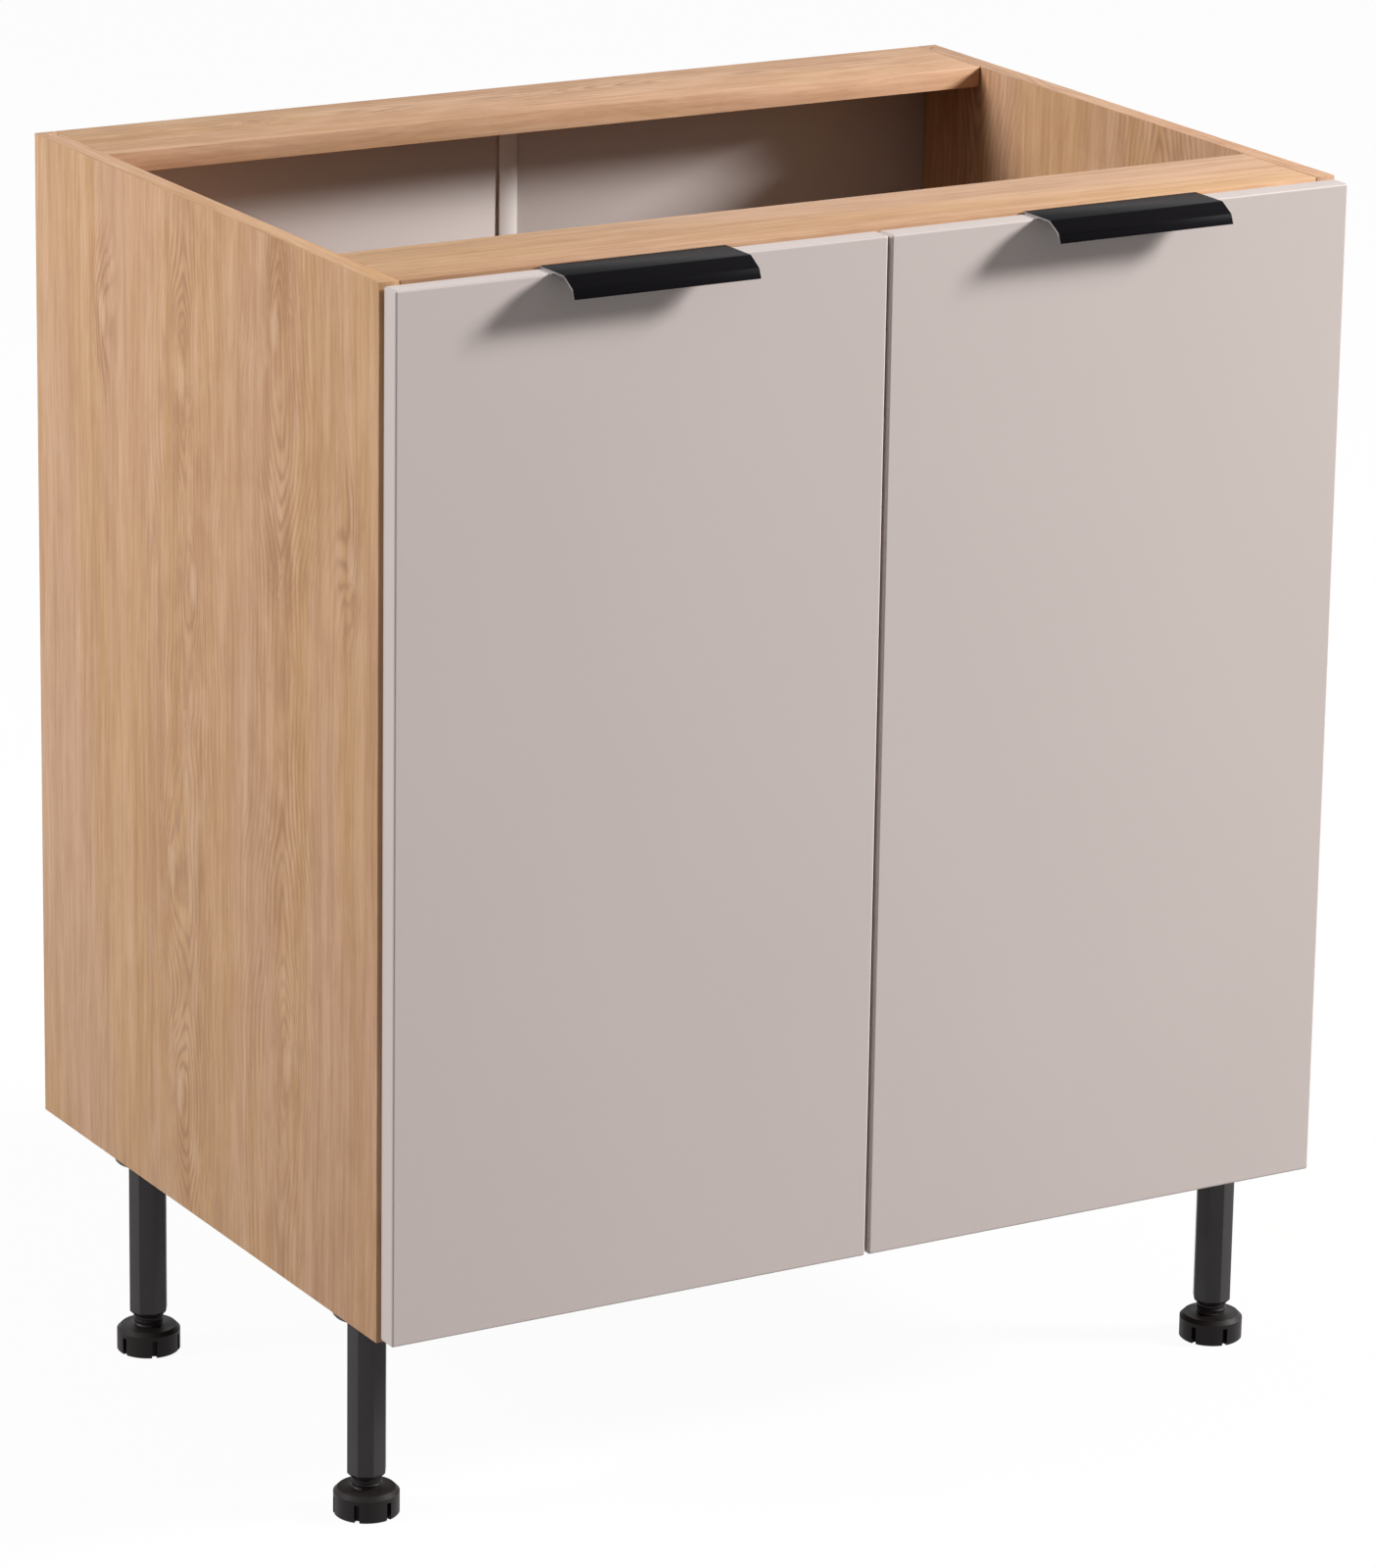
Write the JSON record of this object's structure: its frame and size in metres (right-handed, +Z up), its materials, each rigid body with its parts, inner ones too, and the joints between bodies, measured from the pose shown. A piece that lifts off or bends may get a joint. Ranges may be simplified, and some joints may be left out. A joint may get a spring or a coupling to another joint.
{
  "type": "sink base cabinet",
  "caption": "Open-topped base cabinet in wood-look board, with a pair of lacquered doors on cup hinges, edge pulls and levelling legs.",
  "frame": {"origin": "on the floor, at the centre of the bounding box, below the middle of the cabinet", "axes": "+Z up, -Y towards the room in front of the doors, +X to the right of someone who faces the doors"},
  "size_m": [0.8, 0.6112, 0.94],
  "materials": {
    "oak": "satin melamine with printed wood grain",
    "hardboard": "painted white hardboard",
    "joiner": "white extruded plastic",
    "lacquer": "satin lacquer, warm grey",
    "pull": "black anodised, cut ends bare",
    "legs": "black moulded plastic",
    "hinges": "nickel plated",
    "screws": "zinc plated",
    "bumpers": "clear soft plastic"
  },
  "bodies": {
    "carcass": {"side_left": "oak", "side_right": "oak", "bottom_panel": "oak", "front_rail": "oak", "rear_rail": "oak", "back_sheet_left": "hardboard", "back_sheet_right": "hardboard", "back_joiner": "joiner", "hinge_plate_left_bottom": "hinges", "hinge_plate_left_top": "hinges", "hinge_arm_left_bottom": "hinges", "hinge_arm_left_top": "hinges", "plate_screw_left_bottom_1": "screws", "plate_screw_left_bottom_2": "screws", "plate_screw_left_top_1": "screws", "plate_screw_left_top_2": "screws", "hinge_plate_right_bottom": "hinges", "hinge_plate_right_top": "hinges", "hinge_arm_right_bottom": "hinges", "hinge_arm_right_top": "hinges", "plate_screw_right_bottom_1": "screws", "plate_screw_right_bottom_2": "screws", "plate_screw_right_top_1": "screws", "plate_screw_right_top_2": "screws", "leg_flange_front_left": "legs", "leg_column_front_left": "legs", "leg_flange_front_right": "legs", "leg_column_front_right": "legs", "leg_flange_rear_left": "legs", "leg_column_rear_left": "legs", "leg_flange_rear_right": "legs", "leg_column_rear_right": "legs"},
    "door_left": {"door_left": "lacquer", "pull_left": "pull", "pull_screw_left_1": "screws", "pull_screw_left_2": "screws", "bumper_left_bottom": "bumpers", "bumper_left_top": "bumpers", "hinge_cup_left_bottom": "hinges", "hinge_cup_left_top": "hinges", "hinge_pin_left_bottom": "hinges", "hinge_pin_left_top": "hinges"},
    "door_right": {"door_right": "lacquer", "pull_right": "pull", "pull_screw_right_1": "screws", "pull_screw_right_2": "screws", "bumper_right_bottom": "bumpers", "bumper_right_top": "bumpers", "hinge_cup_right_bottom": "hinges", "hinge_cup_right_top": "hinges", "hinge_pin_right_bottom": "hinges", "hinge_pin_right_top": "hinges"},
    "foot_front_left": {"leg_foot_front_left": "legs"},
    "foot_front_right": {"leg_foot_front_right": "legs"},
    "foot_rear_left": {"leg_foot_rear_left": "legs"},
    "foot_rear_right": {"leg_foot_rear_right": "legs"}
  },
  "joints": [
    {"name": "door_left_swing", "type": "hinge", "parent": "carcass", "child": "door_left", "pos_m": [-0.39, -0.26615, 0.55], "axis": [0, 0, 1], "range_deg": [-100, 0]},
    {"name": "door_right_swing", "type": "hinge", "parent": "carcass", "child": "door_right", "pos_m": [0.39, -0.26615, 0.55], "axis": [0, 0, 1], "range_deg": [0, 100]},
    {"name": "foot_front_left_level", "type": "slide", "parent": "carcass", "child": "foot_front_left", "axis": [0, 0, 1], "range_m": [-0.015, 0.008]},
    {"name": "foot_front_right_level", "type": "slide", "parent": "carcass", "child": "foot_front_right", "axis": [0, 0, 1], "range_m": [-0.015, 0.008]},
    {"name": "foot_rear_left_level", "type": "slide", "parent": "carcass", "child": "foot_rear_left", "axis": [0, 0, 1], "range_m": [-0.015, 0.008]},
    {"name": "foot_rear_right_level", "type": "slide", "parent": "carcass", "child": "foot_rear_right", "axis": [0, 0, 1], "range_m": [-0.015, 0.008]}
  ]
}
